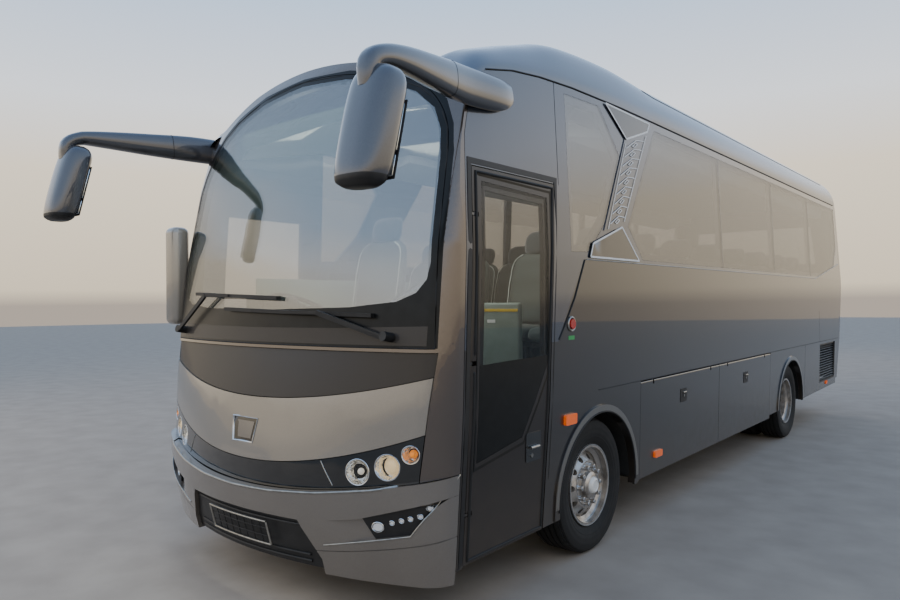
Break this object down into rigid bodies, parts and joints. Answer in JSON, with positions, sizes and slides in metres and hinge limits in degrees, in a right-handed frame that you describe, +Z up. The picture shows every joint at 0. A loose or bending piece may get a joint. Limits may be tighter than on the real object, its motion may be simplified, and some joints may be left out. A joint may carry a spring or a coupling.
{
  "type": "midibus",
  "caption": "Midi coach with a curved windscreen, entrance door, luggage bay doors, engine door, steered front wheels and twin rear wheels.",
  "frame": {"origin": "on the ground below the middle of the whole bus with its mirrors", "axes": "+Y towards the rear, +X towards the entrance side, +Z up"},
  "size_m": [3.002, 9.875, 3.3939],
  "materials": {
    "body_paint": "metallic gloss",
    "tinted_glass": "gloss",
    "lamp_glass": "gloss",
    "lamp_red": "gloss",
    "tyre_rubber": "matt",
    "wheel_steel": "satin",
    "chassis_black": "satin",
    "seat_leather": "grained",
    "black_plastic": "moulded",
    "floor_vinyl": "satin",
    "rail_chrome": "polished"
  },
  "bodies": {
    "body": {"front_bumper": "body_paint", "bumper_insert": "black_plastic", "lamp_band": "black_plastic", "front_mask": "body_paint", "hood_panel": "body_paint", "head_lamps": "lamp_glass", "front_bulkhead": "chassis_black", "windscreen_surround": "body_paint", "windscreen": "tinted_glass", "side_wall_left": "body_paint", "side_wall_right": "body_paint", "side_glass_left": "tinted_glass", "side_glass_right": "tinted_glass", "luggage_hold": "chassis_black", "cabin_floor": "floor_vinyl", "entrance_steps": "black_plastic", "roof": "body_paint", "rear_wall": "body_paint", "tail_lamps": "lamp_red", "rear_window": "tinted_glass", "front_axle": "chassis_black", "rear_axle": "chassis_black", "chassis_frame": "chassis_black", "engine_block": "chassis_black", "dashboard": "black_plastic", "steering_wheel": "black_plastic", "driver_seat": "seat_leather", "seats_left": "seat_leather", "seats_right": "seat_leather", "mirror_left": "body_paint", "mirror_right": "body_paint", "wipers": "black_plastic", "side_grilles": "black_plastic", "entrance_rail": "rail_chrome"},
    "entrance_door": {"entrance_door": "body_paint", "entrance_door_glass": "tinted_glass"},
    "bay_door_left_front": {"bay_door_left_front": "body_paint"},
    "bay_door_left_rear": {"bay_door_left_rear": "body_paint"},
    "bay_door_right_front": {"bay_door_right_front": "body_paint"},
    "bay_door_right_rear": {"bay_door_right_rear": "body_paint"},
    "engine_door": {"engine_door": "body_paint"},
    "knuckle_left": {"knuckle_left": "chassis_black"},
    "knuckle_right": {"knuckle_right": "chassis_black"},
    "front_wheel_left": {"front_tyre_left": "tyre_rubber", "front_rim_left": "wheel_steel"},
    "front_wheel_right": {"front_tyre_right": "tyre_rubber", "front_rim_right": "wheel_steel"},
    "rear_wheels_left": {"rear_tyres_left": "tyre_rubber", "rear_rims_left": "wheel_steel"},
    "rear_wheels_right": {"rear_tyres_right": "tyre_rubber", "rear_rims_right": "wheel_steel"}
  },
  "joints": [
    {"name": "steer_left", "type": "hinge", "parent": "body", "child": "knuckle_left", "pos_m": [0.905, -2.6625, 0.425], "axis": [0, 0, 1], "range_deg": [-38, 38]},
    {"name": "steer_right", "type": "hinge", "parent": "body", "child": "knuckle_right", "pos_m": [-0.905, -2.6625, 0.425], "axis": [0, 0, 1], "range_deg": [-38, 38]},
    {"name": "front_wheel_left_spin", "type": "hinge", "parent": "knuckle_left", "child": "front_wheel_left", "pos_m": [1.052, -2.6625, 0.425], "axis": [1, 0, 0], "continuous": true},
    {"name": "front_wheel_right_spin", "type": "hinge", "parent": "knuckle_right", "child": "front_wheel_right", "pos_m": [-1.052, -2.6625, 0.425], "axis": [1, 0, 0], "continuous": true},
    {"name": "rear_wheels_left_spin", "type": "hinge", "parent": "body", "child": "rear_wheels_left", "pos_m": [1.052, 2.0375, 0.425], "axis": [1, 0, 0], "continuous": true},
    {"name": "rear_wheels_right_spin", "type": "hinge", "parent": "body", "child": "rear_wheels_right", "pos_m": [-1.052, 2.0375, 0.425], "axis": [1, 0, 0], "continuous": true},
    {"name": "entrance_door_swing", "type": "hinge", "parent": "body", "child": "entrance_door", "pos_m": [1.191, -4.0005, 0.312], "axis": [0, -0.0555, -0.9985], "range_deg": [0, 88]},
    {"name": "bay_door_left_front_lift", "type": "hinge", "parent": "body", "child": "bay_door_left_front", "pos_m": [1.199, -2.0125, 1.014], "axis": [0, -1, 0], "range_deg": [0, 95]},
    {"name": "bay_door_left_rear_lift", "type": "hinge", "parent": "body", "child": "bay_door_left_rear", "pos_m": [1.199, -0.37306, 1.014], "axis": [0, -1, 0], "range_deg": [0, 95]},
    {"name": "bay_door_right_front_lift", "type": "hinge", "parent": "body", "child": "bay_door_right_front", "pos_m": [-1.199, -2.0125, 1.014], "axis": [0, 1, 0], "range_deg": [0, 95]},
    {"name": "bay_door_right_rear_lift", "type": "hinge", "parent": "body", "child": "bay_door_right_rear", "pos_m": [-1.199, -0.37306, 1.014], "axis": [0, 1, 0], "range_deg": [0, 95]},
    {"name": "engine_door_lift", "type": "hinge", "parent": "body", "child": "engine_door", "pos_m": [0, 4.87549, 1.579], "axis": [1, 0, 0], "range_deg": [0, 75]}
  ],
  "couplings": [
    {"joint": "steer_right", "follows": "steer_left", "ratio": 1}
  ]
}
